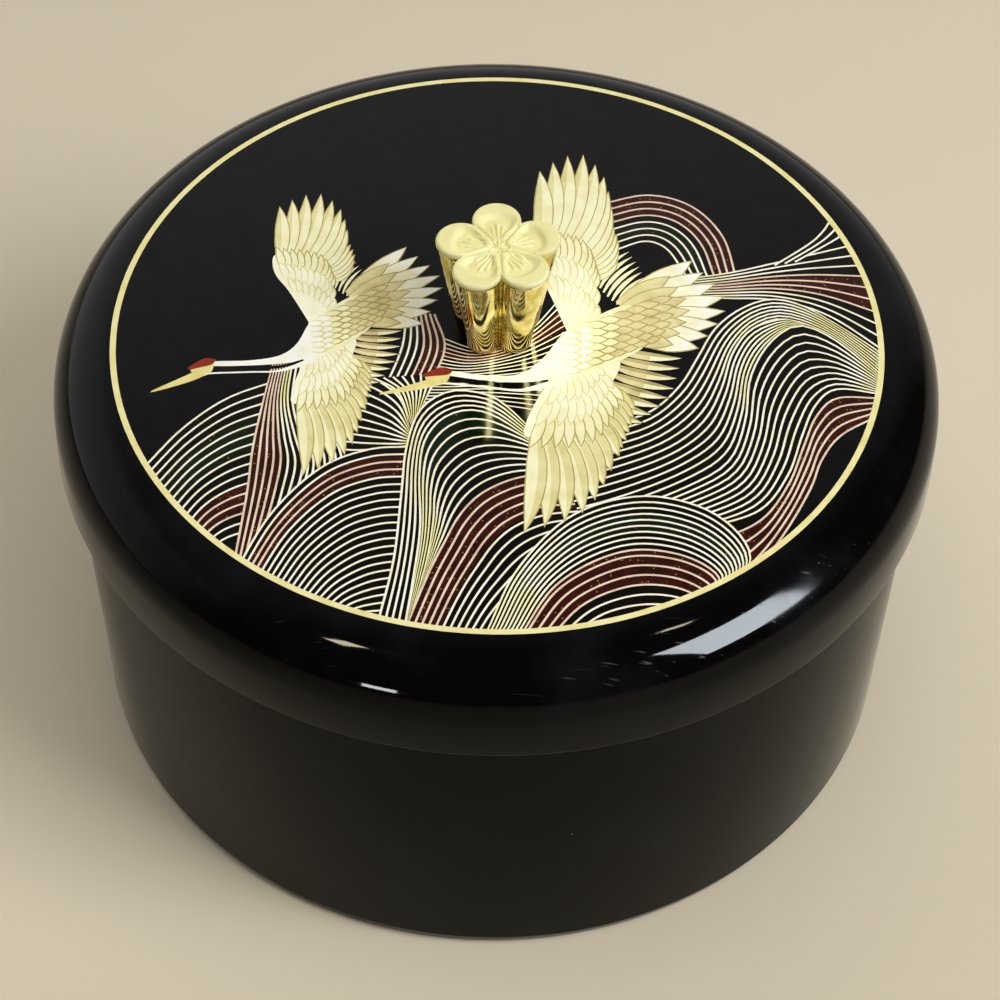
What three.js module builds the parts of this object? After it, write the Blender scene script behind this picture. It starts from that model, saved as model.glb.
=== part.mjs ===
// Round powder box: a hollow base, a lift-off lid with a rounded shoulder, and a gilt blossom knob on the lid.
// Millimetres, +Z up, origin at the middle of the underside.
import * as THREE from "three";

// Overall
const bodyHeight = 65.6; // underside to the flat top of the lid
const roundSides = 80; // sides of each turned form
const arcSteps = 4; // a quarter round is drawn with twice as many chords

// Base
const wallTopRadius = 61.5; // outside of the wall at the ledge that carries the lid
const wallLowRadius = 60.8; // outside of the wall just above the foot edge
const footRadius = 60.1; // edge of the flat underside
const footHeight = 2.0;
const floorThickness = 2.6;
const insideTopRadius = 58.8;
const insideLowRadius = 58.3;
const insideCornerRadius = 4.0;
const neckRadius = 60.0; // raised neck that keeps the lid in place
const neckHeight = 5.0;

// Lid
const lidHeight = 14.4;
const lidRimRadius = 63.5;
const lidTopRadius = 54.7; // flat top, up to the start of the shoulder
const shoulderRadius = 8.6;
const lidTopThickness = 2.6;
const skirtInsideRadius = 60.4; // 0.4 clear of the neck all round
const lidCornerRadius = 5.6;

// Blossom knob
const petalCount = 5;
const knobTurn = THREE.MathUtils.degToRad(4); // the knob is screwed home a little past square
const petalReach = 5.5; // knob axis to the middle of a petal, at the top
const petalRadius = 3.4;
const knobHeight = 16.1;
const stemShare = 0.7; // stem outline just above its rounded foot, as a share of the blossom
const stemFootShare = 0.6; // the part of the stem that stands on the lid
const stemFootHeight = 1.6;
const stemFootSteps = 3;
const rimRound = 0.7; // rounding of the blossom's upper edge
const rimSteps = 3;
const dishDepth = 0.8; // hollow of each petal
const dishMiddle = 4.3; // knob axis to the middle of a hollow
const dishLength = 2.7; // half the hollow's length, along the petal
const dishWidth = 2.1; // half its width
const dishLevel = 0.55; // share of the hollow that is level
const dishLip = 1.1; // where its side reaches the petal's rim, in the same measure
const seamDepth = 0.35; // groove between two petals
const seamWidth = 0.6;
const stamenHeight = 0.3;
const stamenWidth = 0.55;
const stamenLength = 5.6; // knob axis to a stamen's tip
const stamenTip = 1.0; // length over which a stamen's tip runs out
const stamenSpread = Math.PI / 12; // between the three stamens of a petal
const stamenFade = 0.5; // depth of hollow at which a stamen has its full height
const eyeRadius = 1.7; // low round boss in the middle
const eyeDrop = 0.35; // how far it stays below the petal rims
const eyeEdge = 0.4; // half the width of the slope round it
const stepsPerPetal = 18;
const topRings = 10;

const baseHeight = bodyHeight - lidHeight;
const lacquer = new THREE.MeshStandardMaterial({ color: 0x0b0b0c, roughness: 0.1, metalness: 0 });
const gilt = new THREE.MeshStandardMaterial({ color: 0xd9b54a, roughness: 0.2, metalness: 1 });

// A closed profile of radius and height, turned about Z.
function turned(name, profile, material) {
  const geometry = new THREE.LatheGeometry(profile.getPoints(arcSteps), roundSides);
  geometry.rotateX(Math.PI / 2);
  const mesh = new THREE.Mesh(geometry, material.clone());
  mesh.name = name;
  return mesh;
}

function makeBase() {
  const profile = new THREE.Path();
  profile.moveTo(0, 0);
  profile.lineTo(footRadius, 0);
  profile.lineTo(wallLowRadius, footHeight);
  profile.lineTo(wallTopRadius, baseHeight);
  profile.lineTo(neckRadius, baseHeight);
  profile.lineTo(neckRadius, baseHeight + neckHeight);
  profile.lineTo(insideTopRadius, baseHeight + neckHeight);
  const cornerX = insideLowRadius - insideCornerRadius;
  const cornerZ = floorThickness + insideCornerRadius;
  profile.lineTo(insideLowRadius, cornerZ);
  profile.absarc(cornerX, cornerZ, insideCornerRadius, 0, -Math.PI / 2, true);
  profile.lineTo(0, floorThickness);
  return turned("box_base", profile, lacquer);
}

function makeLid() {
  const ceiling = bodyHeight - lidTopThickness;
  const cornerX = skirtInsideRadius - lidCornerRadius;
  const cornerZ = ceiling - lidCornerRadius;
  const shoulderZ = bodyHeight - shoulderRadius;
  const profile = new THREE.Path();
  profile.moveTo(0, ceiling);
  profile.lineTo(cornerX, ceiling);
  profile.absarc(cornerX, cornerZ, lidCornerRadius, Math.PI / 2, 0, true);
  profile.lineTo(skirtInsideRadius, baseHeight);
  profile.lineTo(lidRimRadius, baseHeight);
  profile.lineTo(lidTopRadius + shoulderRadius, shoulderZ);
  profile.absarc(lidTopRadius, shoulderZ, shoulderRadius, 0, Math.PI / 2, false);
  profile.lineTo(0, bodyHeight);
  return turned("box_lid", profile, lacquer);
}

// Angle from the middle of the nearest petal. One petal points along +Y, but for the knob's small turn.
function fromPetal(angle) {
  const petalTurn = (2 * Math.PI) / petalCount;
  const turn = (angle - Math.PI / 2 - knobTurn) / petalTurn;
  return (turn - Math.round(turn)) * petalTurn;
}

// Blossom outline: the outermost of five overlapping circles.
function blossomRadius(angle) {
  const off = fromPetal(angle);
  const across = petalReach * Math.sin(off);
  return petalReach * Math.cos(off) + Math.sqrt(petalRadius ** 2 - across ** 2);
}

function smooth(from, to, value) {
  return THREE.MathUtils.smoothstep(value, from, to);
}

// Height of the blossom's face below its rims at one place.
function blossomSink(radius, angle) {
  const off = fromPetal(angle);
  const along = radius * Math.cos(off);
  const across = radius * Math.sin(off);
  const inDish = Math.hypot((along - dishMiddle) / dishLength, across / dishWidth);
  let sink = dishDepth * (1 - smooth(dishLevel, dishLip, inDish));
  const seamDistance = radius * Math.sin(Math.PI / petalCount - Math.abs(off));
  sink = Math.max(sink, seamDepth * (1 - smooth(0, seamWidth, seamDistance)));
  const stamenOff = off - stamenSpread * THREE.MathUtils.clamp(Math.round(off / stamenSpread), -1, 1);
  const onStamen = 1 - smooth(0, stamenWidth, Math.abs(radius * Math.sin(stamenOff)));
  const beforeTip = 1 - smooth(stamenLength - stamenTip, stamenLength, radius);
  sink -= stamenHeight * onStamen * beforeTip * smooth(0, stamenFade, sink);
  return THREE.MathUtils.lerp(eyeDrop, sink, smooth(eyeRadius - eyeEdge, eyeRadius + eyeEdge, radius));
}

// A ring of the knob's surface: outline share and height, or a place on the blossom's face.
function knobRings() {
  const rings = [];
  for (let i = 0; i <= stemFootSteps; i++) {
    const turn = (i / stemFootSteps) * (Math.PI / 2);
    const share = THREE.MathUtils.lerp(stemFootShare, stemShare, Math.sin(turn));
    const height = stemFootHeight * (1 - Math.cos(turn));
    rings.push((angle) => [share * blossomRadius(angle), height]);
  }
  const edgeZ = knobHeight - rimRound;
  const middleShare = (stemShare + 1) / 2;
  rings.push((angle) => [middleShare * blossomRadius(angle), (stemFootHeight + edgeZ) / 2]);
  for (let i = 0; i <= rimSteps; i++) {
    const turn = (i / rimSteps) * (Math.PI / 2);
    const inset = rimRound * (1 - Math.cos(turn));
    const height = edgeZ + rimRound * Math.sin(turn);
    rings.push((angle) => [blossomRadius(angle) - inset, height]);
  }
  for (let i = topRings - 1; i > 0; i--) {
    const share = i / topRings;
    rings.push((angle) => {
      const radius = share * (blossomRadius(angle) - rimRound);
      return [radius, knobHeight - blossomSink(radius, angle)];
    });
  }
  return rings;
}

function makeKnob() {
  const steps = petalCount * stepsPerPetal;
  const rings = knobRings();
  const points = [0, 0, 0];
  for (const ring of rings) {
    for (let i = 0; i < steps; i++) {
      const angle = (2 * Math.PI * (i + 0.5)) / steps;
      const [radius, height] = ring(angle);
      points.push(radius * Math.cos(angle), radius * Math.sin(angle), height);
    }
  }
  const last = points.length / 3;
  points.push(0, 0, knobHeight - eyeDrop);
  const faces = [];
  for (let i = 0; i < steps; i++) {
    const next = (i + 1) % steps;
    faces.push(0, 1 + next, 1 + i);
    for (let r = 0; r + 1 < rings.length; r++) {
      const low = 1 + r * steps;
      const high = low + steps;
      faces.push(low + i, low + next, high + next);
      faces.push(low + i, high + next, high + i);
    }
    faces.push(last - steps + i, last - steps + next, last);
  }
  const geometry = new THREE.BufferGeometry();
  geometry.setAttribute("position", new THREE.Float32BufferAttribute(points, 3));
  geometry.setIndex(faces);
  geometry.computeVertexNormals();
  const mesh = new THREE.Mesh(geometry, gilt);
  mesh.name = "blossom_knob";
  mesh.position.z = bodyHeight;
  return mesh;
}

const powderBox = new THREE.Group();
powderBox.add(makeBase(), makeLid(), makeKnob());

export default powderBox;
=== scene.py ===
# Powder box: black lacquer base and lid, cranes over waves on the lid, gilt blossom knob
import cmath
import math
from itertools import groupby
import bpy
import numpy as np
from mathutils import Matrix, Vector
from mathutils.geometry import delaunay_2d_cdt


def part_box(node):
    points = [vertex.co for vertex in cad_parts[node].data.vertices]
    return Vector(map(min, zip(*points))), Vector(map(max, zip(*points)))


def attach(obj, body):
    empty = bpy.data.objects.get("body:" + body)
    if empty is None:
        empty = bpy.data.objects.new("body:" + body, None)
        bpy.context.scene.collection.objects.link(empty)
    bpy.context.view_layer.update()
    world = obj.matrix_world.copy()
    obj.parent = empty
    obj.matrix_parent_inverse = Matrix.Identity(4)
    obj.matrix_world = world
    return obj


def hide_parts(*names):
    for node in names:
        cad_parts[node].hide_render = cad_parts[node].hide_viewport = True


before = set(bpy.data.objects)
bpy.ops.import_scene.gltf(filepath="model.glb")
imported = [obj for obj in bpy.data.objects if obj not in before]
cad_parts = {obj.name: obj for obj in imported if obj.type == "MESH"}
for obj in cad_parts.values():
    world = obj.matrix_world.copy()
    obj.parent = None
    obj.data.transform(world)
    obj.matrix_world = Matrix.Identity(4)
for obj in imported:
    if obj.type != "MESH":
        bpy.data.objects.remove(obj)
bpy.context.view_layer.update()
print("frame loaded:", ", ".join(sorted(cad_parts)))

mm = 0.001
lidLow, lidHigh = (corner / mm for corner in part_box("box_lid"))  # sizes below are in millimetres
knobLow, knobHigh = (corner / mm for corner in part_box("blossom_knob"))
lidTop = lidHigh.z
ledge = lidLow.z  # where the lid rests on the base
lidRim = lidHigh.x
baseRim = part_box("box_base")[1].x / mm


# small tools

arcSteps = {"least": 4, "perMillimetre": 3}  # along a rounded corner
onAxis = 1e-6  # radius below which a turned point is a tip


def lerp(a, b, share):
    return a + (b - a) * share


def smoothStep(low, high, value):
    share = min(1, max(0, (value - low) / (high - low)))
    return share * share * (3 - 2 * share)


def srgb(red, green, blue):
    def linear(level):
        level /= 255
        return level / 12.92 if level <= 0.04045 else ((level + 0.055) / 1.055) ** 2.4
    return (linear(red), linear(green), linear(blue), 1)


# corners as (radius, height, rounding) to one smooth outline
def rounded(corners):
    outline = []
    for i, (radius, height, rounding) in enumerate(corners):
        corner = Vector((radius, height))
        if not rounding:
            outline.append(corner)
            continue
        back = (Vector(corners[i - 1][:2]) - corner).normalized()
        ahead = (Vector(corners[i + 1][:2]) - corner).normalized()
        half = back.angle(ahead) / 2
        middle = corner + (back + ahead).normalized() * (rounding / math.sin(half))
        start = corner + back * (rounding / math.tan(half)) - middle
        end = corner + ahead * (rounding / math.tan(half)) - middle
        turn = -start.angle_signed(end)
        steps = max(arcSteps["least"], round(rounding * arcSteps["perMillimetre"]))
        outline += [middle + Matrix.Rotation(turn * k / steps, 2) @ start for k in range(steps + 1)]
    return outline


# turns an outline about Z and adds it to verts and faces, endRing joins it to a ring that is there already
def spin(verts, faces, outline, sides, endRing=None):
    last = None
    for k, point in enumerate(outline):
        if endRing and k == len(outline) - 1:
            ring = endRing
        elif point.x < onAxis:
            ring = [len(verts)]
            verts.append((0, 0, point.y))
        else:
            ring = list(range(len(verts), len(verts) + sides))
            for i in range(sides):
                turn = 2 * math.pi * i / sides
                verts.append((point.x * math.cos(turn), point.x * math.sin(turn), point.y))
        if last:
            for i in range(sides):
                j = (i + 1) % sides
                face = [last[i % len(last)], last[j % len(last)], ring[j % len(ring)], ring[i % len(ring)]]
                faces.append(list(dict.fromkeys(face)))
        last = ring


def addPiece(name, verts, faces, materials, faceSlots=None):
    mesh = bpy.data.meshes.new(name)
    mesh.from_pydata([Vector(v) * mm for v in verts], [], faces)
    for material in materials:
        mesh.materials.append(material)
    mesh.polygons.foreach_set("use_smooth", [True] * len(faces))
    if faceSlots:
        mesh.polygons.foreach_set("material_index", faceSlots)
    mesh.update()
    piece = bpy.data.objects.new(name, mesh)
    bpy.context.scene.collection.objects.link(piece)
    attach(piece, "root")
    return piece


# shader helpers

def newMaterial(name):
    material = bpy.data.materials.new(name)
    material.use_nodes = True
    tree = material.node_tree
    return material, tree, tree.nodes["Principled BSDF"]


def addNode(tree, kind, inputs=None, **settings):
    node = tree.nodes.new("ShaderNode" + kind)
    for key, value in settings.items():
        setattr(node, key, value)
    for key, value in (inputs or {}).items():
        if isinstance(value, bpy.types.NodeSocket):
            tree.links.new(value, node.inputs[key])
        else:
            node.inputs[key].default_value = value
    return node


def objectPlace(tree):
    return addNode(tree, "TexCoord").outputs["Object"]


# noise with features about this many millimetres wide
def noise(tree, size, detail=3, stretch=(1, 1, 1)):
    place = addNode(tree, "Mapping", {"Vector": objectPlace(tree), "Scale": stretch})
    inputs = {"Vector": place.outputs[0], "Scale": 1 / (size * mm), "Detail": detail}
    return addNode(tree, "TexNoise", inputs).outputs["Fac"]


def ramp(tree, value, low, high, toLow=0, toHigh=1):
    inputs = {"Value": value, "From Min": low, "From Max": high, "To Min": toLow, "To Max": toHigh}
    return addNode(tree, "MapRange", inputs).outputs[0]


def blend(tree, share, first, second):
    node = addNode(tree, "Mix", data_type="RGBA")
    for socket, value in ((node.inputs[0], share), (node.inputs[6], first), (node.inputs[7], second)):
        if isinstance(value, bpy.types.NodeSocket):
            tree.links.new(value, socket)
        else:
            socket.default_value = value
    return node.outputs[2]


def bump(tree, shader, height, strength, depth):
    node = addNode(tree, "Bump", {"Height": height, "Strength": strength, "Distance": depth * mm})
    tree.links.new(node.outputs[0], shader.inputs["Normal"])


# scattered specks of dust, as a mask, core is the full part of each
def specks(tree, spacing, size, share, core=0.6):
    inputs = {"Vector": objectPlace(tree), "Scale": 1 / (spacing * mm)}
    cells = addNode(tree, "TexVoronoi", inputs)
    near = ramp(tree, cells.outputs["Distance"], size / spacing, size / spacing * core)
    chosen = addNode(tree, "Math", {0: cells.outputs["Color"], 1: 1 - share}, operation="GREATER_THAN")
    return addNode(tree, "Math", {0: near, 1: chosen.outputs[0]}, operation="MULTIPLY").outputs[0]


# camera, floor and light

view = {
    "place": (0, -255.8, 326.2),
    "tiltDown": 49.333,  # degrees
    "pan": 0.178,
    "roll": 1.093,
    "lens": 92.73,
    "sensor": 36,
    "nearest": 10,  # nothing closer is seen
}


def makeCamera():
    data = bpy.data.cameras.new("camera")
    data.lens = view["lens"]
    data.sensor_width = view["sensor"]
    data.clip_start = view["nearest"] * mm
    camera = bpy.data.objects.new("camera", data)
    turn = Matrix.Rotation(math.radians(-view["pan"]), 4, "Z")
    tilt = Matrix.Rotation(math.radians(90 - view["tiltDown"]), 4, "X")
    roll = Matrix.Rotation(math.radians(view["roll"]), 4, "Z")
    camera.matrix_world = Matrix.Translation(Vector(view["place"]) * mm) @ turn @ tilt @ roll
    bpy.context.scene.collection.objects.link(camera)
    bpy.context.scene.camera = camera


studio = {
    "floorColour": srgb(219, 207, 183),
    "floorSize": 8000,
    "roomDark": 0.02,  # brightness of the room around and behind the camera
    "roomBright": 1.3,  # and across from it, which the flat lid mirrors
    "roomSide": (-0.5, 0.86, 0.0),  # the way to the bright side
    "roomTurn": (0.1, 0.75),  # where it begins and where it is full, as cosines off that way
    "roomFade": (42, 51),  # degrees up where its brightness runs out
    "roomAbove": 0.35,  # share of it that is left higher up
    # name: azimuth and elevation seen from the box, distance, width, height, watts, colour
    "lights": {
        "windowLight": (-27, 44, 1000, 460, 500, 6.5, (0.97, 0.98, 1.0)),
        "ceilingLight": (-70, 74, 1200, 1000, 1000, 5.8, (1.0, 0.97, 0.92)),
    },
    # panels that only show as highlights in the lacquer and the gilt
    "highlights": {
        "window": (-30, 33.5, 880, 400, 460, 43, (0.86, 0.94, 1.0)),
        "smallPanel": (-113, 7, 800, 100, 65, 1.6, (1.0, 1.0, 1.0)),
        "warmLamp": (-140, 62, 900, 60, 110, 1.6, (1.0, 0.84, 0.6)),
        "warmLampRight": (0, 70, 900, 50, 60, 0.6, (1.0, 0.84, 0.6)),
    },
}


def addLamp(name, azimuth, elevation, distance, width, depth, watts, colour):
    data = bpy.data.lights.new(name, "AREA")
    data.shape = "RECTANGLE"
    data.size = width * mm
    data.size_y = depth * mm
    data.energy = watts
    data.color = colour
    lamp = bpy.data.objects.new(name, data)
    lamp.visible_camera = False
    turn = math.radians(azimuth)
    lift = math.radians(elevation)
    away = Vector((math.cos(turn) * math.cos(lift), math.sin(turn) * math.cos(lift), math.sin(lift)))
    lamp.location = (away * distance + Vector((0, 0, lidTop))) * mm
    lamp.rotation_euler = away.to_track_quat("Z", "Y").to_euler()
    bpy.context.scene.collection.objects.link(lamp)
    return lamp


def makeStudio():
    half = studio["floorSize"] / 2
    corners = [(-half, -half, 0), (half, -half, 0), (half, half, 0), (-half, half, 0)]
    mesh = bpy.data.meshes.new("floor")
    mesh.from_pydata([Vector(c) * mm for c in corners], [], [(0, 1, 2, 3)])
    floor = bpy.data.objects.new("floor", mesh)
    bpy.context.scene.collection.objects.link(floor)
    material, _, shader = newMaterial("pale floor")
    shader.inputs["Base Color"].default_value = studio["floorColour"]
    shader.inputs["Roughness"].default_value = 1
    shader.inputs["Specular IOR Level"].default_value = 0
    mesh.materials.append(material)

    world = bpy.data.worlds.new("room")
    world.use_nodes = True
    tree = world.node_tree
    way = addNode(tree, "TexCoord").outputs["Generated"]
    toSide = addNode(tree, "VectorMath", {0: way, 1: studio["roomSide"]}, operation="DOT_PRODUCT")
    side = ramp(tree, toSide.outputs["Value"], *studio["roomTurn"])
    low, high = (math.sin(math.radians(angle)) for angle in studio["roomFade"])
    up = ramp(tree, addNode(tree, "SeparateXYZ", {0: way}).outputs[2], low, high, 1, studio["roomAbove"])
    bright = addNode(tree, "Math", {0: side, 1: up}, operation="MULTIPLY").outputs[0]
    level = ramp(tree, bright, 0, 1, studio["roomDark"], studio["roomBright"])
    tree.nodes["Background"].inputs["Color"].default_value = (1, 1, 1, 1)
    tree.links.new(level, tree.nodes["Background"].inputs["Strength"])
    bpy.context.scene.world = world
    bpy.context.scene.view_settings.view_transform = "Standard"

    for name, values in studio["lights"].items():
        addLamp(name, *values).visible_glossy = False
    for name, values in studio["highlights"].items():
        addLamp(name, *values).visible_diffuse = False


makeCamera()
makeStudio()
print("camera, floor and lamps set")


# black lacquer

lacquer = {
    "colour": (0.002, 0.002, 0.0022, 1),
    "smudgeColour": (0.005, 0.0055, 0.006, 1),
    "dustColour": (0.22, 0.2, 0.17, 1),
    "smooth": 0.045,  # roughness of the clean polish
    "smudged": 0.2,
    "smudgeSize": 14,
    "smudgeRange": (0.5, 0.75),
    "dust": (2.4, 0.12, 0.12),  # spacing, size, and the share of places that have a speck
    "scratched": 0.3,
    "scratchSize": 9,
    "scratchStretch": (1, 26, 9),
    "scratchRange": (0.7, 0.78),
    "shine": 0.085,  # 0.5 is a plain clear lacquer
    "ripple": (3.5, 0.15, 0.02),  # width, strength and depth of the polish's faint waves
}


def rippled(tree, shader):
    width, strength, depth = lacquer["ripple"]
    bump(tree, shader, noise(tree, width, 2), strength, depth)


def makeLacquer():
    material, tree, shader = newMaterial("black lacquer")
    shader.inputs["Specular IOR Level"].default_value = lacquer["shine"]
    smudge = ramp(tree, noise(tree, lacquer["smudgeSize"], 5), *lacquer["smudgeRange"])
    dust = specks(tree, *lacquer["dust"])
    clean = blend(tree, smudge, lacquer["colour"], lacquer["smudgeColour"])
    tree.links.new(blend(tree, dust, clean, lacquer["dustColour"]), shader.inputs["Base Color"])
    gloss = ramp(tree, smudge, 0, 1, lacquer["smooth"], lacquer["smudged"])
    streaks = noise(tree, lacquer["scratchSize"], 1, lacquer["scratchStretch"])
    scratch = ramp(tree, streaks, *lacquer["scratchRange"], 0, lacquer["scratched"])
    worn = addNode(tree, "Math", {0: dust, 1: scratch}, operation="MAXIMUM").outputs[0]
    tree.links.new(addNode(tree, "Math", {0: gloss, 1: worn}, operation="ADD").outputs[0],
                   shader.inputs["Roughness"])
    rippled(tree, shader)
    return material


# base of the box, turned

base = {
    "lowRadius": 60.8,
    "footRadius": 60.1,
    "footHeight": 2.0,
    "floor": 2.6,
    "insideTop": 58.8,
    "insideLow": 58.3,
    "insideCorner": 4.0,
    "neck": 60.0,
    "neckHeight": 5.0,
    "edge": 0.35,  # rounding of the small edges
    "sides": 256,
}


def makeBase(material):
    b = base
    neckTop = ledge + b["neckHeight"]
    corners = [
        (0, 0, 0),
        (b["footRadius"], 0, b["edge"]),
        (b["lowRadius"], b["footHeight"], b["edge"] / 2),
        (baseRim, ledge, b["edge"]),
        (b["neck"], ledge, b["edge"] / 2),
        (b["neck"], neckTop, b["edge"]),
        (b["insideTop"], neckTop, b["edge"]),
        (b["insideLow"], b["floor"], b["insideCorner"]),
        (0, b["floor"], 0),
    ]
    verts, faces = [], []
    spin(verts, faces, rounded(corners), b["sides"])
    piece = addPiece("base_lacquer", verts, faces, [material])
    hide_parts("box_base")
    print("base turned:", len(faces), "faces")


# inks of the picture: colour, deeper shade, share of gold dust in it, shine
inks = {
    "sky": (srgb(7, 7, 8), srgb(13, 13, 14), 0, 0.1),
    "sea": (srgb(7, 5, 0), srgb(11, 8, 1), 0, 0.12),
    "line": (srgb(248, 243, 226), srgb(240, 230, 192), 0, 0.1),
    "paleGilding": (srgb(246, 241, 204), srgb(237, 227, 172), 0, 0.1),
    "gilding": (srgb(244, 238, 178), srgb(232, 222, 150), 0, 0.1),
    "rose": (srgb(234, 214, 190), srgb(218, 186, 156), 0, 0.1),
    "maroon": (srgb(58, 17, 9), srgb(31, 9, 5), 0.3, 0.12),
    "green": (srgb(17, 30, 13), srgb(9, 18, 8), 0.12, 0.12),
    "cream": (srgb(246, 242, 200), srgb(236, 228, 172), 0, 0.1),
    "pale": (srgb(250, 247, 220), srgb(242, 235, 194), 0, 0.1),
    "white": (srgb(250, 249, 238), srgb(240, 236, 212), 0, 0.1),
    "shade": (srgb(230, 221, 162), srgb(216, 205, 140), 0, 0.1),
    "warm": (srgb(230, 216, 164), srgb(208, 190, 132), 0, 0.1),
    "tan": (srgb(196, 182, 124), srgb(152, 138, 86), 0, 0.1),
    "olive": (srgb(186, 174, 104), srgb(166, 152, 84), 0, 0.1),
    "beak": (srgb(234, 222, 148), srgb(218, 203, 120), 0, 0.1),
    "red": (srgb(146, 48, 30), srgb(112, 30, 20), 0, 0.1),
    "black": (srgb(12, 11, 11), srgb(18, 17, 17), 0, 0.1),
    "ring": (srgb(238, 229, 168), srgb(228, 215, 138), 0, 0.1),
}
inkCoat = {
    "cloudSize": 3,  # of the deeper shade
    "cloudRange": (0.4, 0.7),
    "goldDust": srgb(170, 120, 60),
    "dustSpacing": 0.45,
    "dustSize": 0.13,
    "wearSize": 9,
    "wearRange": (0.3, 0.8),
    "polish": (0.06, 0.14),  # roughness, fresh and worn
}


def makeInk(name):
    colour, deeper, dustShare, shine = inks[name]
    material, tree, shader = newMaterial(name + " ink")
    clouds = ramp(tree, noise(tree, inkCoat["cloudSize"], 4), *inkCoat["cloudRange"])
    tone = blend(tree, clouds, colour, deeper)
    if dustShare:
        dust = specks(tree, inkCoat["dustSpacing"], inkCoat["dustSize"], dustShare)
        tone = blend(tree, dust, tone, inkCoat["goldDust"])
    tree.links.new(tone, shader.inputs["Base Color"])
    wear = noise(tree, inkCoat["wearSize"], 4)
    tree.links.new(ramp(tree, wear, *inkCoat["wearRange"], *inkCoat["polish"]), shader.inputs["Roughness"])
    shader.inputs["Specular IOR Level"].default_value = shine
    rippled(tree, shader)
    return material


# picture on the lid, painted flat from back to front, its points are complex numbers in millimetres

picture = {
    "edge": 54.1,  # painting stops here, under the ring
    "ringInside": 53.7,
    "ringOutside": 54.55,
    "lineWidth": 0.3,
    "squeezed": 0.5,  # widest line as a share of the gap to the next, where lines crowd
    "gilded": 0.8,  # lines thinner than this share of the full width are the most golden
    "lineSteps": 40,
    "guideSteps": 10,  # from one guide point to the next
    "merged": 0.003,  # corners nearer to each other than this become one
}
paintings = []  # ink and corners


def paint(ink, corners):
    edge = picture["edge"]
    paintings.append((ink, [c if abs(c) < edge else c * edge / abs(c) for c in corners]))


# the same line with its points at even steps
def evenly(line, steps):
    lengths = [0]
    for a, b in zip(line, line[1:]):
        lengths.append(lengths[-1] + abs(b - a))
    points, k = [], 0
    for i in range(steps + 1):
        target = lengths[-1] * i / steps
        while k < len(line) - 2 and lengths[k + 1] < target:
            k += 1
        points.append(lerp(line[k], line[k + 1], (target - lengths[k]) / (lengths[k + 1] - lengths[k])))
    return points


# smooth line through a few guide points
def curve(guide, steps):
    guide = [complex(*p) for p in guide]
    ends = [2 * guide[0] - guide[1]] + guide + [2 * guide[-1] - guide[-2]]
    line = []
    for a, b, c, d in zip(ends, ends[1:], ends[2:], ends[3:]):
        for t in (k / picture["guideSteps"] for k in range(picture["guideSteps"])):
            line.append(b + ((c - a) * t + (2 * a - 5 * b + 4 * c - d) * t ** 2
                             + (3 * b - a - 3 * c + d) * t ** 3) / 2)
    return evenly(line + [guide[-1]], steps)


# direction of a line at one of its points
def heading(line, i):
    ahead = line[min(i + 1, len(line) - 1)] - line[max(i - 1, 0)]
    return ahead / abs(ahead)


def brushLine(ink, line, widths):
    sides = [heading(line, i) * 1j * widths[i] / 2 for i in range(len(line))]
    left = [p + side for p, side in zip(line, sides)]
    right = [p - side for p, side in zip(line, sides)]
    paint(ink, left + right[::-1])


# lines of the sea that two swells share
seaLines = {
    "underCrest": [(6.5, -29), (15.5, -26), (23.5, -22), (28.5, -17), (31.2, -10.8), (33, -4.2), (36, 0.8),
                   (40.8, 2.9), (47.5, -0.4), (54, -8)],
    "fold": [(5, -38), (16, -34), (26.2, -28.7), (31.7, -24.1), (34.2, -16.7), (35.2, -9.2), (37.4, -3.5),
             (40.4, 0.4), (43.5, 1.6), (48, -1.4), (54, -8.6)],
    "hollow": [(16.6, -38), (27, -36.5), (35.2, -33), (39.5, -26.5), (41.8, -19.5), (44, -13.8),
               (47.2, -10.6), (53.4, -11.4)],
    "ribbon": [(-28.6, -7), (-28.8, -14.4), (-27.3, -21.2), (-26, -26), (-26.6, -31.4), (-28.5, -40.7),
               (-30, -47)],
    "bundle": [(-11.3, -54), (-10.4, -45.3), (-9.8, -36.8), (-10.2, -28.1), (-9.8, -22), (-7.7, -17.7),
               (-4.1, -15.7), (0.1, -16.9), (6.5, -22.5)],
    "pinch": [(-11, -54), (-8.8, -42.5), (-8.1, -35.6), (-8, -31), (-7, -26.8), (-3.9, -23.1), (0.1, -22.1),
              (5.1, -23), (8, -25)],
    "bandTop": [(-11.2, -54), (-9.5, -48.1), (-8.1, -43.6), (-6.5, -39.3), (-4.8, -35), (-2.4, -31.4),
                (0.7, -29), (4.2, -27.6), (9, -27.2)],
    "lowArch": [(4, -54.8), (8.7, -46.7), (16.6, -41.6), (23.7, -41.6), (28.7, -44.6), (28.4, -48.5)],
}
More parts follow.
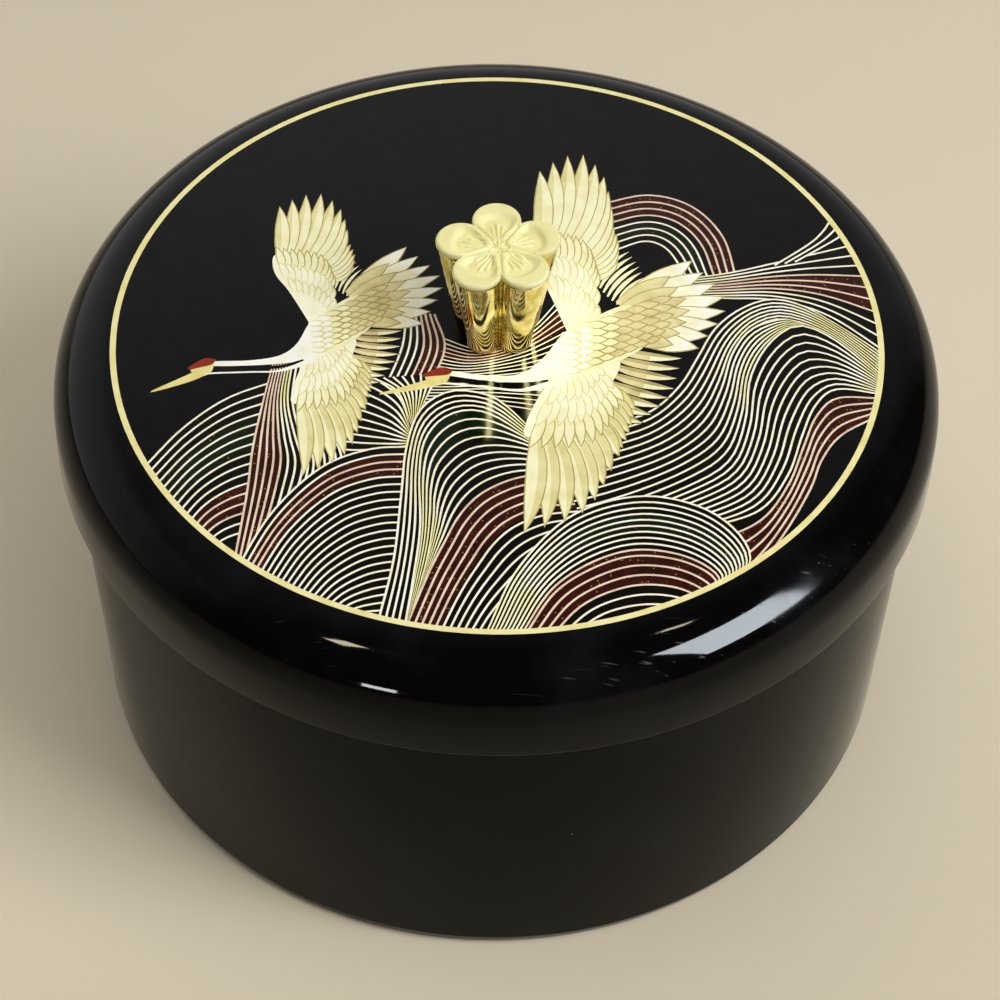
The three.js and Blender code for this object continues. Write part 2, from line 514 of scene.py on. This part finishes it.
# swells from back to front: lines swept from an outer guide to an inner one, over bands of colour
# band: ink, from and to as shares between the guides
swells = [
    {"outer": [(15, 26.2), (22.1, 28.3), (28.4, 26), (32.7, 19.7), (34.3, 11)],
     "inner": [(17, 16.5), (21.3, 18.4), (24.5, 16.8), (27, 11.5)],
     "lines": 7, "bands": [("maroon", 0, 0.43), ("green", 0.57, 0.86)]},
    {"outer": [(25, 10.4), (33, 12), (41.8, 14.9), (55, 19.5)],
     "inner": [(25, 6.6), (33, 6.9), (40.2, 6.6), (47.3, 3.6), (55, -3.6)],
     "lines": 9, "bands": [("maroon", 0.33, 0.67)]},
    {"outer": [(40, 13.8), (46.5, 19.7), (50, 26)],
     "inner": [(43, 14.6), (48.9, 19.2), (52, 22)],
     "lines": 2, "bands": []},
    {"outer": [(-8.6, -1.6), (-2.3, -4), (4, -0.8), (8.7, 5.9)],
     "inner": [(-16, -15), (-5.5, -14.1), (2.4, -14.9), (12, -17)],
     "lines": 18, "width": 0.2, "bands": [("maroon", 0.08, 0.25)]},
    {"outer": [(-13, 3.1), (-13.4, -4), (-15.5, -12)],
     "inner": [(-9, 2.7), (-7.4, -4), (-9.6, -12)],
     "lines": 6, "bands": [("maroon", 0.5, 1)]},
    {"outer": [(-17, -10), (-13.6, -12.6), (-11.6, -18.6)],
     "inner": [(-8, -8.8), (-9.2, -12), (-10.8, -17)],
     "lines": 7, "bands": []},
    {"outer": [(8, -20), (15, -18), (21.1, -15.5), (25.4, -10.5), (28.1, -5), (30.8, 0.7), (34.5, 4.7),
               (38.9, 6.8), (43.2, 5.8), (48.6, 1.6), (54.5, -4)],
     "inner": seaLines["underCrest"],
     "lines": 6, "bands": []},
    {"outer": seaLines["underCrest"][:8] + [(43.5, 1.8)],
     "inner": seaLines["fold"][:9],
     "lines": 6, "bands": []},
    {"outer": seaLines["fold"],
     "inner": seaLines["hollow"],
     "lines": 9, "bands": []},
    {"outer": seaLines["hollow"][1:],
     "inner": [(30, -50), (37.7, -38), (42.2, -29.3), (44.2, -23.8), (47.2, -19.2), (52.7, -15.4)],
     "lines": 5, "bands": [("maroon", 0.2, 1)]},
    {"outer": [(-21, -8.6), (-16.5, -10.5), (-13.2, -14), (-11.8, -19)],
     "inner": [(-25, -24.5), (-20, -24.8), (-15.5, -24), (-11.8, -22.8)],
     "lines": 10, "bands": []},
    {"outer": [(-49, -30), (-46.8, -26.4), (-42.5, -19.7), (-37, -14.2), (-30, -10.5)],
     "inner": [(-38, -44), (-36.5, -40.5), (-34, -38.6), (-30, -37.6)],
     "lines": 15, "bands": [("green", 0.2, 0.47), ("maroon", 0.67, 0.87)]},
    {"outer": seaLines["ribbon"],
     "inner": [(-24, -7), (-24, -14), (-22.4, -20), (-20.8, -25), (-21.5, -30), (-24.5, -38), (-28, -47)],
     "lines": 7, "bands": []},
    {"outer": [(-31.2, -7), (-32.1, -14.5), (-32.9, -23.2), (-33.1, -31.5), (-33.9, -44)],
     "inner": seaLines["ribbon"],
     "lines": 7, "bands": [("maroon", 0, 0.6)]},
    {"outer": [(-34, -46), (-29.6, -34.9), (-23.6, -26.8), (-17.3, -23.3), (-11.6, -22.6)],
     "inner": [(-19.4, -53), (-17.2, -51.5), (-14.8, -51), (-11.6, -50.8)],
     "lines": 21, "bands": [("maroon", 0.05, 0.19)]},
    {"outer": seaLines["pinch"],
     "inner": seaLines["bandTop"],
     "lines": 5, "bands": []},
    {"outer": seaLines["bandTop"],
     "inner": [(0.5, -55.5), (2.5, -52.2), (5.5, -49), (9.5, -46), (14.5, -44)],
     "lines": 13, "bands": [("maroon", 0, 0.36)]},
    {"outer": seaLines["bundle"],
     "inner": seaLines["pinch"],
     "lines": 4, "bands": [("green", 0, 0.75)]},
    {"outer": [(-14.9, -54), (-13.1, -42.6), (-12.5, -31.1), (-12.1, -22.7), (-10.5, -15.9), (-6.9, -12.4),
               (-2.8, -12.3), (1, -14.4), (7, -22)],
     "inner": seaLines["bundle"],
     "lines": 4, "bands": []},
    {"outer": [(-0.7, -54), (3.2, -43.6), (10.3, -34.4), (19.7, -30.8), (28.4, -33.1), (33.4, -39.4),
               (32.7, -47)],
     "inner": seaLines["lowArch"],
     "lines": 10, "bands": [("green", 0.3, 0.6), ("maroon", 0.9, 1)]},
    {"outer": seaLines["lowArch"],
     "inner": [(10.3, -55.6), (15.8, -51.7), (22.9, -50.9), (27, -53.5)],
     "lines": 6, "bands": [("maroon", 0, 0.5)]},
]


def paintSwell(swell):
    count = swell["lines"]
    outer = curve(swell["outer"], picture["lineSteps"])
    inner = curve(swell["inner"], picture["lineSteps"])

    def between(share):
        return [lerp(a, b, share) for a, b in zip(outer, inner)]

    paint("sea", outer + inner[::-1])
    for ink, low, high in swell["bands"]:
        paint(ink, between(low) + between(high)[::-1])
    for k in range(count + 1):
        share = k / count
        line = between(share)
        onMaroon = any(ink == "maroon" and low <= share <= high for ink, low, high in swell["bands"])
        widest = swell.get("width", picture["lineWidth"])
        widths = []
        for i, (a, b) in enumerate(zip(outer, inner)):
            gap = abs(((b - a) / heading(line, i)).imag) / count  # to the next line, square to it
            widths.append(min(widest, picture["squeezed"] * gap))
        shown = [i for i, p in enumerate(line) if abs(p) < picture["edge"]]
        if not shown:
            continue
        run = range(len(line))[max(0, shown[0] - 1):shown[-1] + 2]
        brushLine("rose" if onMaroon else "line", line[run[0]:run[-1] + 1], widths[run[0]:run[-1] + 1])
        gildings = () if onMaroon else (("paleGilding", widest), ("gilding", picture["gilded"] * widest))
        for ink, limit in gildings:  # where lines crowd
            for crowded, group in groupby(run, lambda i: widths[i] < limit):
                part = list(group)
                if crowded and len(part) > 2:
                    brushLine(ink, line[part[0]:part[-1] + 1], widths[part[0]:part[-1] + 1])


feather = {
    "edge": 0.34,  # rim in another ink, both sides together
    "root": 0.4,  # width at the root, as a share of the full width
    "fullFrom": 0.35,  # full width from here on, as a share of the length
    "fullTo": 0.52,
    "tipCurve": 1.8,
    "shadeEdge": -0.15,  # where the shaded half begins, just past the spine
}


# half the width of a feather along its length, pointed at the tip
def featherHalf(share):
    grow = lerp(feather["root"], 1, min(1, share / feather["fullFrom"]))
    return grow * (1 - max(0, (share - feather["fullTo"]) / (1 - feather["fullTo"])) ** feather["tipCurve"])


def paintFeather(root, tip, width, ink, bend=0, edge="olive", tipInks=(), shade=None, steps=9):
    shares = [k / steps for k in range(steps + 1)]
    spine = [lerp(root, tip, t) + (tip - root) * 1j * bend * 4 * t * (1 - t) for t in shares]
    rim = feather["edge"]

    # the feather from one of its steps to the tip, left and right are the shares of its half width
    def leaf(ink, start, width, short, left=1, right=1):
        sides = [], []
        for k in range(start, steps + 1):
            ahead = heading(spine, k)
            middle = spine[k] - ahead * short * shares[k]
            half = ahead * 1j * width / 2 * featherHalf(shares[k])
            sides[0].append(middle + half * left)
            sides[1].append(middle - half * right)
        paint(ink, sides[0] + sides[1][-2::-1])

    leaf(edge, 0, width, 0)
    leaf(ink, 0, width - rim, rim)
    for k, tipInk in enumerate(tipInks):
        leaf(tipInk, steps * (k + 2) // (len(tipInks) + 2), width - rim, rim)
    if shade:
        leaf(shade, 0, width - rim, rim, 1, feather["shadeEdge"])


# a crane in flight, drawn about the middle of its body, used for both birds
crane = {
    "farFeathers": [
        {"count": 7, "width": 0.8, "ink": "cream", "bend": 0.08, "edge": "black", "steps": 6,
         "roots": [(3.4, 6.8), (1.6, 8.2), (0, 10)], "tips": [(5.6, 11.4), (4.6, 13.6), (3, 16)]},
        {"count": 8, "width": 1.5, "ink": "warm", "bend": -0.06, "edge": "black", "steps": 7,
         "tipInks": ("cream",), "shade": "tan",
         "roots": [(3, 0.6), (3.4, -3), (3.2, -8)], "tips": [(11.2, 0.6), (10.8, -4.8), (8.4, -9.6)]},
    ],
    "tail": [
        {"count": 8, "width": 2.9, "ink": "warm", "tipInks": ("cream", "pale", "white"),
         "roots": [(3.4, 8.2), (4.6, 6), (5.4, 2.6)], "tips": [(11, 17.6), (16.4, 10.6), (14, 2)]},
        {"count": 7, "width": 2.4, "ink": "warm", "shade": "shade",
         "roots": [(2.8, 7.8), (4, 5.4), (4.8, 2.4)], "tips": [(8.6, 14.2), (12, 8.8), (10.8, 2)]},
    ],
    "lowerWing": [
        {"count": 6, "width": 1.8, "ink": "cream", "bend": 0.06, "shade": "shade",
         "roots": [(2.6, -5), (2.2, -8), (1.8, -9.4)], "tips": [(7.2, -8), (7.1, -11), (6.7, -13.6)]},
        {"count": 8, "width": 2.3, "ink": "cream", "bend": 0.05, "shade": "shade",
         "roots": [(1.8, -9.4), (-0.6, -11.6), (-3, -12.4)], "tips": [(6.5, -14.8), (4.2, -23), (-1.4, -27)]},
    ],
    "lowerArm": [(-1.6, -3), (-3.2, -8), (-3.9, -12), (-3.6, -14), (-1, -12.6), (2, -9.8), (3.8, -5.6),
                 (4.4, -1), (1, -0.6)],
    "lowerCoverts": [
        {"count": 11, "width": 1.35, "ink": "cream", "bend": 0.05, "steps": 6,
         "roots": [(3, -4.6), (1, -8.4), (-2.4, -10.4)], "tips": [(5.8, -7), (3.4, -13.6), (-3, -15.6)]},
        {"count": 10, "width": 1.3, "ink": "pale", "bend": 0.05, "steps": 6, "edge": "shade",
         "roots": [(2.2, -3.4), (0.2, -6.6), (-2, -8)], "tips": [(4.4, -5.4), (2, -10.8), (-2.9, -12.4)]},
        {"count": 8, "width": 1.1, "ink": "pale", "bend": 0.05, "steps": 5, "edge": "shade",
         "roots": [(1.6, -2.4), (0, -4.6), (-1.5, -5.6)], "tips": [(3.2, -3.8), (1.2, -7.6), (-2.2, -9.2)]},
    ],
    "upperWing": [
        {"count": 6, "width": 1.7, "ink": "cream", "bend": -0.05, "shade": "shade",
         "roots": [(0.4, 10), (-0.8, 11.6), (-1.6, 12.6)], "tips": [(3.4, 13.6), (3.5, 16), (2.4, 19)]},
        {"count": 8, "width": 2.3, "ink": "cream", "bend": -0.04, "shade": "shade",
         "roots": [(-1.4, 12), (-4.2, 14.4), (-7.4, 14)],
         "tips": [(2.2, 21), (1, 25.4), (-2.2, 28.7), (-5.5, 27.8), (-8.1, 25.8)]},
    ],
    "upperArm": [(-2.4, 2), (-5.5, 7.9), (-7.9, 11.8), (-8.2, 15.4), (-6, 16), (-3, 14.4), (-1.2, 11.6),
                 (0.6, 8), (1.6, 4), (0, 1)],
    "upperCoverts": [
        {"count": 11, "width": 1.35, "ink": "cream", "bend": -0.05, "steps": 6,
         "roots": [(0, 8.4), (-1.9, 11.2), (-6.8, 12.4)], "tips": [(0.5, 11.8), (-1.6, 16), (-8.1, 17.2)]},
        {"count": 10, "width": 1.3, "ink": "pale", "bend": -0.05, "steps": 6, "edge": "shade",
         "roots": [(0, 6), (-1.9, 8.8), (-6, 10.4)], "tips": [(0.8, 9), (-1.8, 12.6), (-7.4, 14)]},
        {"count": 8, "width": 1.1, "ink": "pale", "bend": -0.05, "steps": 5, "edge": "shade",
         "roots": [(0.2, 4.2), (-1.8, 6.4), (-4.7, 8)], "tips": [(1.2, 6.6), (-1.7, 9.4), (-6, 11)]},
    ],
    "back": [(-2, 1.8), (0.4, 4.6), (4, 7.4), (7, 5.6), (7.2, 2.4), (4.6, -1), (1.6, -3.6), (-1.6, -4),
             (-3.4, -2)],
    "scaleRows": 8,
    "scalesInRow": 6,
    "whiteRows": 2,  # of these rows, on the chest
    "warmRows": 0.5,  # share of them, from the tail
    "scaleFirst": [(6.4, 8.4), (6.9, 5.2), (6, 2)],  # roots of the row next to the tail
    "scaleLast": [(-2.4, 1.6), (-2, -0.8), (-1.6, -3.6)],
    "scaleLength": 2.3,
    "scaleWidth": 1.25,
    "scaleRise": (1.2, 0.2),  # of the tips, in the first row and the last
    "neckRoot": -4,  # left of this the neck is drawn in by the bird's own reach
    "neckBlend": 3,  # length over which the neck takes on its own slimness
    "chestAndNeck": [(0.2, -2.6), (-0.8, 0.4), (-1.6, 2.2), (-2.5, 1.2), (-3.8, -2.4), (-6, -4.7),
                     (-10, -5.75), (-15.2, -6.1), (-15.4, -6.95), (-10, -6.75), (-6, -6.3), (-2.6, -5.6),
                     (-0.6, -4.4)],
    "stripe": [(-2.6, -5.6), (-6, -6.9), (-11, -7.3), (-15.4, -7.4)],
    "stripeWidth": (0.5, 0.8),  # at the body and at the head
    "throat": [(-0.8, -5.2), (-5.6, -7.6), (-10, -8), (-15.6, -8.4), (-16.6, -8.9)],
    "throatWidth": (1.2, 0.3),
    "throatTaper": 6,  # steps from the wide end to the thin one
    "neckSteps": 16,  # along stripe and throat
    "beak": [(-15.2, -7), (-17, -7.7), (-20, -9.7), (-23.6, -12.2), (-20, -10.9), (-16.6, -9.1)],
    "cheek": [(-15, -6.4), (-17, -7.1), (-18.3, -7.9), (-17, -8.6), (-15.4, -8.2)],
    "cap": [(-14.8, -5.7), (-16.4, -5.5), (-18.2, -6.9), (-18.6, -7.8), (-17, -7.3), (-15.4, -6.7)],
    "neckLine": -7,  # height of the neck, which is drawn slimmer towards it
    "shoulder": (-2, 8),
    "tailRoot": (3.6, 4.6),
    "outlineSteps": {"lowerArm": 40, "upperArm": 40, "back": 40, "chestAndNeck": 60, "beak": 30, "cheek": 20,
                     "cap": 24},
}
birds = [
    {"at": (-24.4, -1.2), "size": 1.0, "turn": 0, "neckReach": 1.0, "neckSlim": 1.0,
     "wingTurn": 0, "wingReach": 1.0, "wingSlim": 1.0, "tailReach": 1.0},
    {"at": (11.8, -3.4), "size": 1.3, "turn": -10, "neckReach": 0.82, "neckSlim": 0.78,
     "wingTurn": 7, "wingReach": 1.11, "wingSlim": 0.82, "tailReach": 0.86},
]


def paintCrane(bird):
    size = bird["size"]
    middle = complex(*bird["at"])
    shoulder = complex(*crane["shoulder"])
    body = complex(*crane["tailRoot"])
    turn = cmath.rect(size, math.radians(bird["turn"]))
    wingTurn = cmath.rect(1, math.radians(bird["wingTurn"]))

    def place(point):
        return middle + point * turn

    def raised(point):  # for the upper wing
        away = point - shoulder
        wing = complex(away.real * bird["wingSlim"], away.imag * bird["wingReach"])
        return place(shoulder + wing * wingTurn)

    def drawnIn(point):  # for the tail
        return place(body + (point - body) * bird["tailReach"])

    def reached(point):  # for neck and head
        along = max(0, crane["neckRoot"] - point.real)
        slim = lerp(1, bird["neckSlim"], min(1, along / crane["neckBlend"]))
        return place(complex(point.real + along * (1 - bird["neckReach"]),
                             lerp(crane["neckLine"], point.imag, slim)))

    def shape(ink, part, where=place):
        guide = crane[part]
        paint(ink, [where(p) for p in curve(guide + guide[:1], crane["outlineSteps"][part])[:-1]])

    def row(count, width, roots, tips, where=place, **looks):
        for root, tip in zip(curve(roots, count - 1), curve(tips, count - 1)):
            paintFeather(where(root), where(tip), width * size, **looks)

    def rows(part, where=place):
        for feathers in crane[part]:
            row(where=where, **feathers)

    rows("farFeathers")
    rows("tail", drawnIn)
    rows("lowerWing")
    shape("pale", "lowerArm")
    rows("lowerCoverts")
    rows("upperWing", raised)
    shape("pale", "upperArm", raised)
    rows("upperCoverts", raised)
    shape("cream", "back")
    shape("white", "chestAndNeck", reached)
    last = crane["scaleRows"] - 1
    for k in range(crane["scaleRows"]):
        share = k / last
        roots = [(lerp(a, c, share), lerp(b, d, share))
                 for (a, b), (c, d) in zip(crane["scaleFirst"], crane["scaleLast"])]
        tips = [(x + crane["scaleLength"], y + lerp(*crane["scaleRise"], share)) for x, y in roots]
        onChest = k > last - crane["whiteRows"]
        ink = "white" if onChest else "cream" if share > crane["warmRows"] else "warm"
        row(crane["scalesInRow"], crane["scaleWidth"], roots, tips, ink=ink,
            edge="shade" if onChest else "olive", steps=5)
    steps = crane["neckSteps"]
    brushLine("black", [reached(p) for p in curve(crane["stripe"], steps)],
              [lerp(*crane["stripeWidth"], k / steps) * size for k in range(steps + 1)])
    taper = crane["throatTaper"]
    brushLine("white", [reached(p) for p in curve(crane["throat"], steps)],
              [lerp(*crane["throatWidth"], min(1, k / taper)) * size for k in range(steps + 1)])
    shape("beak", "beak", reached)
    shape("beak", "cheek", reached)
    shape("red", "cap", reached)


# which of these points lie inside a closed outline
def covered(corners, points):
    x, y = points.T
    inside = np.zeros(len(points), bool)
    for a, b in zip(corners, corners[1:] + corners[:1]):
        if a.imag != b.imag:
            crossing = a.real + (b.real - a.real) * (y - a.imag) / (b.imag - a.imag)
            inside ^= ((a.imag > y) != (b.imag > y)) & (x < crossing)
    return inside


# cuts the flat disc along every painted outline, each triangle gets the ink painted on it last
def cutPicture(sides):
    def circle(radius):
        turns = [2 * math.pi * i / sides for i in range(sides)]
        return [radius * complex(math.cos(t), math.sin(t)) for t in turns]

    outlines = [circle(picture["ringOutside"]), circle(picture["ringInside"])] + [c for ink, c in paintings]
    points, edges = [], []
    for corners in outlines:
        first = len(points)
        points += [Vector((c.real, c.imag)) for c in corners]
        edges += [(first + i, first + (i + 1) % len(corners)) for i in range(len(corners))]
    cut = delaunay_2d_cdt(points, edges, [], 0, picture["merged"], False)
    spots, triangles = cut[0], cut[2]
    middles = np.array([p[:] for p in spots])[np.array(triangles)].mean(axis=1)
    names = list(inks)
    inkOf = np.full(len(triangles), names.index("sky"))
    for ink, corners in paintings:
        low = (min(c.real for c in corners), min(c.imag for c in corners))
        high = (max(c.real for c in corners), max(c.imag for c in corners))
        near = np.nonzero(((middles > low) & (middles < high)).all(axis=1))[0]
        inkOf[near[covered(corners, middles[near])]] = names.index(ink)
    inkOf[np.hypot(*middles.T) > picture["ringInside"]] = names.index("ring")
    return spots, triangles, inkOf


# lid of the box, turned, with the picture cut into its flat top

lid = {
    "shoulder": 8.6,
    "shoulderTop": 63.0,  # where the skirt's line would meet the top
    "thickness": 2.6,
    "skirtInside": 60.4,
    "insideCorner": 5.6,
    "edge": 0.4,
    "sides": 256,
    "rimSlack": 0.001,  # points this near to the ring's edge belong to it
    "outsideLayout": (0.5, 0.49),  # middle and reach of its disc in the flat layout
    "insideLayout": (0.075, 0.07),
}


# flat layout for baking: top and outside as one disc, the inside as a small one in a corner
def layOutLid(mesh, outline, topVerts, topFaces):
    walk = [0]
    for a, b in zip(outline, outline[1:]):
        walk.append(walk[-1] + (b - a).length)
    # inner edge of the rim
    foot = min(range(len(outline)), key=lambda k: (round(outline[k].y, 3), outline[k].x))
    topRadius = picture["ringOutside"]
    outside = topRadius + walk[-1] - walk[foot]
    layer = mesh.uv_layers.new(name="OFBake")
    spots = []
    for face in mesh.polygons:
        step = (face.index - topFaces) // lid["sides"]
        for v in face.vertices:
            x, y = mesh.vertices[v].co.xy / mm
            k = len(outline) - 1 if v < topVerts else (v - topVerts - 1) // lid["sides"] + 1
            if face.index >= topFaces and step < foot:
                middle, full = lid["insideLayout"]
                reach = full * walk[k] / walk[foot]
            else:
                far = math.hypot(x, y) if v < topVerts else topRadius + walk[-1] - walk[k]
                middle, full = lid["outsideLayout"]
                reach = full * far / outside
            turn = math.atan2(y, x)
            spots += [middle + reach * math.cos(turn), middle + reach * math.sin(turn)]
    layer.data.foreach_set("uv", spots)


def makeLid(material):
    d = lid
    for swell in swells:
        paintSwell(swell)
    for bird in birds:
        paintCrane(bird)
    spots, triangles, inkOf = cutPicture(d["sides"])
    print("picture cut:", len(paintings), "painted areas,", len(triangles), "triangles")
    verts = [(p.x, p.y, lidTop) for p in spots]
    faces = [list(t) for t in triangles]
    rim = [i for i, p in enumerate(spots) if p.length > picture["ringOutside"] - d["rimSlack"]]
    fullTurn = 2 * math.pi - 1e-6  # a hair less, so that a point just short of it still comes first
    rim.sort(key=lambda i: math.atan2(spots[i].y, spots[i].x) % fullTurn)

    ceiling = lidTop - d["thickness"]
    corners = [
        (0, ceiling, 0),
        (d["skirtInside"], ceiling, d["insideCorner"]),
        (d["skirtInside"], ledge, d["edge"]),
        (lidRim, ledge, d["edge"]),
        (d["shoulderTop"], lidTop, d["shoulder"]),
        (picture["ringOutside"], lidTop, 0),
    ]
    outline = rounded(corners)
    spin(verts, faces, outline, d["sides"], rim)
    slots = [1 + int(ink) for ink in inkOf] + [0] * (len(faces) - len(triangles))
    piece = addPiece("lid_lacquer", verts, faces, [material] + [makeInk(name) for name in inks], slots)
    layOutLid(piece.data, outline, len(spots), len(triangles))
    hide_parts("box_lid")
    print("lid turned:", len(faces), "faces")


# gilt blossom knob

gilt = {
    "mirror": (0.86, 0.76, 0.36, 1),
    "mirrorDeep": (0.46, 0.34, 0.07, 1),
    "mirrorGloss": (0.06, 0.12),
    "mirrorMetal": 1.0,
    "mirrorGrain": (1.2, 0.1, 0.02),  # width, strength and depth
    "satin": (0.82, 0.77, 0.35, 1),
    "satinDeep": (0.76, 0.69, 0.27, 1),
    "satinGloss": (0.7, 0.8),
    "satinMetal": 0.0,  # the blossom's face is matt, nearly like paint
    "satinGrain": (0.25, 0.2, 0.02),
    "patchSize": 2.5,
    "patchRange": (0.35, 0.7),
}


def makeGilt(finish):
    material, tree, shader = newMaterial(finish + " gilt")
    shader.inputs["Metallic"].default_value = gilt[finish + "Metal"]
    patch = ramp(tree, noise(tree, gilt["patchSize"], 4), *gilt["patchRange"])
    tone = blend(tree, patch, gilt[finish], gilt[finish + "Deep"])
    tree.links.new(tone, shader.inputs["Base Color"])
    tree.links.new(ramp(tree, patch, 0, 1, *gilt[finish + "Gloss"]), shader.inputs["Roughness"])
    width, strength, depth = gilt[finish + "Grain"]
    bump(tree, shader, noise(tree, width, 3), strength, depth)
    return material


knob = {
    "petals": 5,
    "turn": 4,  # degrees past square
    "petalReach": 5.5,  # axis to the middle of a petal
    "petalRadius": 3.4,
    "stem": 0.7,  # stem outline as a share of the blossom
    "stemFoot": 0.6,
    "footHeight": 1.6,
    "plate": 0.8,  # height of the blossom's plain edge above the mirror sides
    "plateOverhang": 0.2,
    "plateEdge": [(0.06, 0.03, 0), (0, 0.12, 1)],  # inset, height above the sides, finish below
    "rimRound": 0.5,
    "dishDepth": 0.75,
    "dishMiddle": 4.1,
    "dishLength": 2.8,
    "dishSpread": 0.62,  # half its width, as a share of the distance from the axis
    "dishLevel": 0.62,  # share of it that lies inside its slope
    "dishCrown": 0.75,  # depth in its middle, as a share of the depth round it
    "nearAxis": 0.1,  # the dish keeps at least its width at this distance
    "seamDepth": 0.3,
    "seamWidth": 0.5,
    "stamens": 2,  # to each side of a petal's middle one
    "stamenHeight": 0.26,
    "stamenWidth": 0.36,
    "stamenLength": 5.4,
    "stamenStep": 0.5,  # how much shorter each next one is
    "stamenTip": 0.7,
    "stamenFade": 0.4,  # depth of dish at which it has its full height
    "stamenSpread": math.pi / 17,
    "eyeRadius": 1.35,
    "eyeEdge": (0.25, 0.2),  # its slope, inside and outside that radius
    "eyeDrop": 0.3,
    "knurls": 10,  # beads round the eye
    "knurlHeight": 0.12,
    "knurlFrom": (0.3, 0.6),
    "stepsPerPetal": 80,
    "sideSteps": 24,
    "roundSteps": 8,
    "topRings": 64,
}


def fromPetal(angle):
    petalTurn = 2 * math.pi / knob["petals"]
    turn = (angle - math.pi / 2) / petalTurn
    return (turn - math.floor(turn + 0.5)) * petalTurn


def blossomRadius(angle):
    off = fromPetal(angle)
    across = knob["petalReach"] * math.sin(off)
    return knob["petalReach"] * math.cos(off) + math.sqrt(knob["petalRadius"] ** 2 - across ** 2)


# how far the blossom's face lies below its rims
def blossomSink(radius, angle):
    k = knob
    off = fromPetal(angle)
    along = radius * math.cos(off)
    across = radius * math.sin(off)
    halfWidth = k["dishSpread"] * max(along, k["nearAxis"])
    inDish = math.hypot((along - k["dishMiddle"]) / k["dishLength"], across / halfWidth)
    onSlope = smoothStep(k["dishLevel"], 1, inDish)
    sink = k["dishDepth"] * (1 - onSlope) * lerp(k["dishCrown"], 1, min(1, inDish))
    seam = radius * math.sin(math.pi / k["petals"] - abs(off))
    sink = max(sink, k["seamDepth"] * (1 - smoothStep(0, k["seamWidth"], seam)))
    nearest = max(-k["stamens"], min(k["stamens"], round(off / k["stamenSpread"])))
    aside = abs(radius * math.sin(off - nearest * k["stamenSpread"]))
    tip = k["stamenLength"] - k["stamenStep"] * abs(nearest)
    beforeTip = 1 - smoothStep(tip - k["stamenTip"], tip, radius)
    ridge = (1 - smoothStep(0, k["stamenWidth"], aside)) * beforeTip
    sink -= k["stamenHeight"] * ridge * smoothStep(0, k["stamenFade"], sink)
    bead = k["knurlHeight"] * smoothStep(*k["knurlFrom"], radius) * math.cos(angle * k["knurls"])
    inside, outside = k["eyeEdge"]
    pastEye = smoothStep(k["eyeRadius"] - inside, k["eyeRadius"] + outside, radius)
    return lerp(k["eyeDrop"] + bead, sink, pastEye)


# rings of the knob's skin from its foot up and over the face: place at an angle, and the finish below it
def knobRings():
    k = knob
    height = knobHigh.z - knobLow.z
    plateTop = height - k["rimRound"]
    sideTop = height - k["plate"]
    quarter = [i / k["roundSteps"] * math.pi / 2 for i in range(k["roundSteps"] + 1)]
    rings = []

    def ring(share, inset, level, finish):
        rings.append((lambda angle: (share * blossomRadius(angle) - inset, level), finish))

    for turn in quarter:
        ring(lerp(k["stemFoot"], k["stem"], math.sin(turn)), 0, k["footHeight"] * (1 - math.cos(turn)), 0)
    for i in range(1, k["sideSteps"] + 1):
        share = i / k["sideSteps"]
        ring(lerp(k["stem"], 1, share), k["plateOverhang"] * share, lerp(k["footHeight"], sideTop, share), 0)
    for inset, rise, finish in k["plateEdge"]:
        ring(1, inset, sideTop + rise, finish)
    for turn in quarter:
        ring(1, k["rimRound"] * (1 - math.cos(turn)), plateTop + k["rimRound"] * math.sin(turn), 1)
    for i in range(k["topRings"] - 1, 0, -1):
        def face(angle, share=i / k["topRings"]):
            radius = share * (blossomRadius(angle) - k["rimRound"])
            return radius, height - blossomSink(radius, angle)
        rings.append((face, 1))
    return rings


def makeKnob(mirror, satin):
    steps = knob["petals"] * knob["stepsPerPetal"]
    bottom = knobLow.z
    verts, faces, slots = [(0, 0, bottom)], [], []
    last = [0]
    for place, finish in knobRings():
        ring = list(range(len(verts), len(verts) + steps))
        for i in range(steps):
            angle = 2 * math.pi * i / steps
            radius, height = place(angle)
            turned = angle + math.radians(knob["turn"])
            verts.append((radius * math.cos(turned), radius * math.sin(turned), bottom + height))
        for i in range(steps):
            j = (i + 1) % steps
            face = [last[i % len(last)], last[j % len(last)], ring[j], ring[i]]
            faces.append(list(dict.fromkeys(face)))
            slots.append(finish)
        last = ring
    verts.append((0, 0, knobHigh.z - knob["eyeDrop"]))
    for i in range(steps):
        faces.append([last[i], last[(i + 1) % steps], len(verts) - 1])
        slots.append(1)
    piece = addPiece("knob_gilt", verts, faces, [mirror, satin], slots)
    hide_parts("blossom_knob")
    print("knob shaped:", len(faces), "faces")


blackLacquer = makeLacquer()
makeBase(blackLacquer)
makeLid(blackLacquer)
makeKnob(makeGilt("mirror"), makeGilt("satin"))
